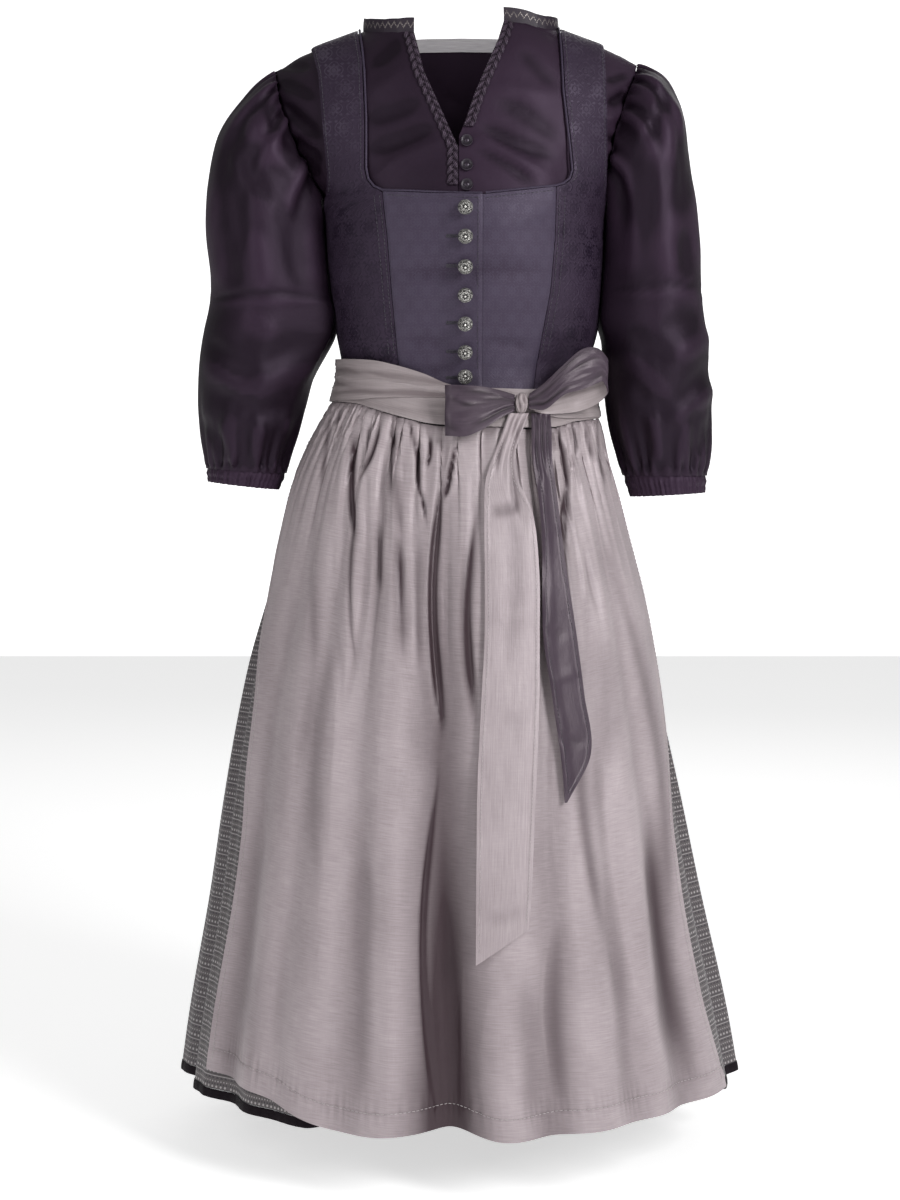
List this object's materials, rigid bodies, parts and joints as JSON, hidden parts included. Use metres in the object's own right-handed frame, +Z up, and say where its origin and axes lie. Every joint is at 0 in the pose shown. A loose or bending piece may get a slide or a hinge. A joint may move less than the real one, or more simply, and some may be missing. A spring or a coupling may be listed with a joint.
{
  "type": "dirndl with blouse, apron and bow",
  "caption": "Folk dress set: puff-sleeved blouse, sleeveless bodice joined to a gathered skirt, and an apron tied round the waist in a bow.",
  "frame": {"origin": "between the shoulders, at the height of the shoulder line beside the neck", "axes": "+Z up, the front faces -Y, +X to the viewer's right as the viewer faces the front"},
  "size_m": [0.5871, 0.5172, 1.119],
  "materials": {
    "blouse_satin": "soft satin",
    "plaited_braid": "plaited braid with metallic thread",
    "bodice_jacquard": "tone-on-tone jacquard",
    "bodice_satin": "matt satin",
    "apron_taffeta": "changeant taffeta",
    "sash_taffeta": "changeant taffeta",
    "dark_ribbon": "taffeta, dark side",
    "skirt_brocade": "brocade",
    "hem_velvet": "velvet",
    "silver_filigree": "oxidised silver",
    "dark_metal": "dark patina"
  },
  "bodies": {
    "root": {"blouse_front_left": "blouse_satin", "blouse_front_right": "blouse_satin", "blouse_back": "blouse_satin", "sleeve_left": "blouse_satin", "sleeve_right": "blouse_satin", "cuff_left": "blouse_satin", "cuff_right": "blouse_satin", "braid_left": "plaited_braid", "braid_right": "plaited_braid", "collar_left": "plaited_braid", "collar_right": "plaited_braid", "collar_back": "plaited_braid", "bodice_side_front_left": "bodice_jacquard", "bodice_side_front_right": "bodice_jacquard", "bodice_side_back_left": "bodice_jacquard", "bodice_side_back_right": "bodice_jacquard", "bodice_back": "bodice_jacquard", "piping_left": "bodice_jacquard", "piping_right": "bodice_jacquard", "piping_back": "bodice_jacquard", "bodice_front_left": "bodice_satin", "bodice_front_right": "bodice_satin", "apron": "apron_taffeta", "tail_light": "apron_taffeta", "waistband": "sash_taffeta", "sash_left": "sash_taffeta", "sash_right": "sash_taffeta", "sash_back": "sash_taffeta", "knot": "sash_taffeta", "bow_loop_left": "dark_ribbon", "bow_loop_right": "dark_ribbon", "tail_dark": "dark_ribbon", "skirt_front": "skirt_brocade", "skirt_left": "skirt_brocade", "skirt_right": "skirt_brocade", "skirt_back": "skirt_brocade", "hem_binding_front": "hem_velvet", "hem_binding_left": "hem_velvet", "hem_binding_right": "hem_velvet", "hem_binding_back": "hem_velvet", "ball_button_1": "silver_filigree", "ball_button_2": "silver_filigree", "ball_button_3": "silver_filigree", "ball_button_4": "silver_filigree", "ball_button_5": "silver_filigree", "ball_button_6": "silver_filigree", "ball_button_7": "silver_filigree", "rim_button_1": "dark_metal", "rim_button_2": "dark_metal", "rim_button_3": "dark_metal"}
  },
  "joints": []
}
